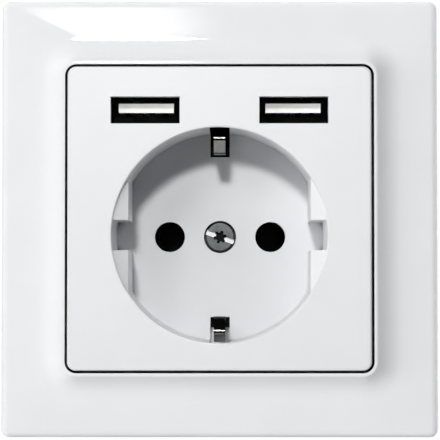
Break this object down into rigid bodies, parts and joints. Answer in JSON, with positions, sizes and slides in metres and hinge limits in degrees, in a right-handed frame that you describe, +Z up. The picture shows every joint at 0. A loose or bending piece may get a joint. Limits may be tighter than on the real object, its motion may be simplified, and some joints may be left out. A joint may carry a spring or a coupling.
{
  "type": "usb wall socket",
  "caption": "Flush earthed wall socket with round plug recess, side earth clips, USB-A charging ports, square cover frame and a claw-fixed insert for a round wall box.",
  "frame": {"origin": "on the wall surface, midway between the box screws, which is behind the middle of the centre plate", "axes": "+Y into the wall, +X to the right seen from the front, +Z up"},
  "size_m": [0.0794, 0.0406, 0.0794],
  "materials": {
    "white_gloss": "glossy moulded thermoplastic, pure white",
    "white_satin": "satin moulded thermoplastic, pure white",
    "zinc_steel": "zinc plated steel",
    "galvanised_steel": "galvanised sheet steel",
    "white_carrier": "moulded thermoplastic",
    "black_base": "moulded thermoset",
    "grey_housing": "moulded thermoplastic",
    "nickel_spring": "nickel plated spring strip",
    "contact_brass": "stamped brass",
    "shell_steel": "nickel plated sheet steel",
    "tongue_plastic": "moulded connector plastic",
    "gold_contact": "gold plated contact strip",
    "circuit_board": "glass-epoxy board with solder mask",
    "tinned_copper": "tinned copper wire",
    "ferrite": "sintered ferrite",
    "winding_tape": "polyester tape over the winding",
    "capacitor_can": "sleeved aluminium can"
  },
  "bodies": {
    "socket": {"cover_frame": "white_gloss", "centre_plate": "white_satin", "centre_screw": "zinc_steel", "support_ring": "galvanised_steel", "carrier_screws": "zinc_steel", "contact_cover": "white_carrier", "contact_base": "black_base", "rear_housing": "grey_housing", "housing_screws": "zinc_steel", "earth_strap": "nickel_spring", "centre_nut": "zinc_steel", "live_contact": "contact_brass", "neutral_contact": "contact_brass", "live_clamp": "contact_brass", "earth_clamp": "contact_brass", "neutral_clamp": "contact_brass", "terminal_screws": "zinc_steel", "usb_shell_left": "shell_steel", "usb_shell_right": "shell_steel", "usb_insulator_left": "tongue_plastic", "usb_insulator_right": "tongue_plastic", "usb_contacts_left": "gold_contact", "usb_contacts_right": "gold_contact", "usb_board": "circuit_board", "power_board": "circuit_board", "board_link": "gold_contact", "supply_leads": "tinned_copper", "transformer_core": "ferrite", "transformer_winding": "winding_tape", "smoothing_capacitors": "capacitor_can"},
    "claw_left": {"claw_left": "galvanised_steel"},
    "claw_right": {"claw_right": "galvanised_steel"},
    "claw_screw_left": {"claw_screw_left": "zinc_steel"},
    "claw_screw_right": {"claw_screw_right": "zinc_steel"},
    "claw_nut_left": {"claw_nut_left": "zinc_steel"},
    "claw_nut_right": {"claw_nut_right": "zinc_steel"}
  },
  "joints": [
    {"name": "claw_left_swing", "type": "hinge", "parent": "socket", "child": "claw_left", "pos_m": [-0.0229, 0.0024, 0], "axis": [0, 0, 1], "range_deg": [0, 15]},
    {"name": "claw_screw_left_turn", "type": "hinge", "parent": "socket", "child": "claw_screw_left", "pos_m": [-0.0244, 0, 0], "axis": [0, 1, 0], "range_deg": [0, 432]},
    {"name": "claw_nut_left_travel", "type": "slide", "parent": "socket", "child": "claw_nut_left", "axis": [0, -1, 0], "range_m": [0, 0.0006]},
    {"name": "claw_right_swing", "type": "hinge", "parent": "socket", "child": "claw_right", "pos_m": [0.0229, 0.0024, 0], "axis": [0, 0, -1], "range_deg": [0, 15]},
    {"name": "claw_screw_right_turn", "type": "hinge", "parent": "socket", "child": "claw_screw_right", "pos_m": [0.0244, 0, 0], "axis": [0, 1, 0], "range_deg": [0, 432]},
    {"name": "claw_nut_right_travel", "type": "slide", "parent": "socket", "child": "claw_nut_right", "axis": [0, -1, 0], "range_m": [0, 0.0006]}
  ],
  "couplings": [
    {"joint": "claw_screw_left_turn", "follows": "claw_left_swing", "ratio": 28.8},
    {"joint": "claw_nut_left_travel", "follows": "claw_left_swing", "m_per_rad": 0.00229},
    {"joint": "claw_screw_right_turn", "follows": "claw_right_swing", "ratio": 28.8},
    {"joint": "claw_nut_right_travel", "follows": "claw_right_swing", "m_per_rad": 0.00229}
  ]
}
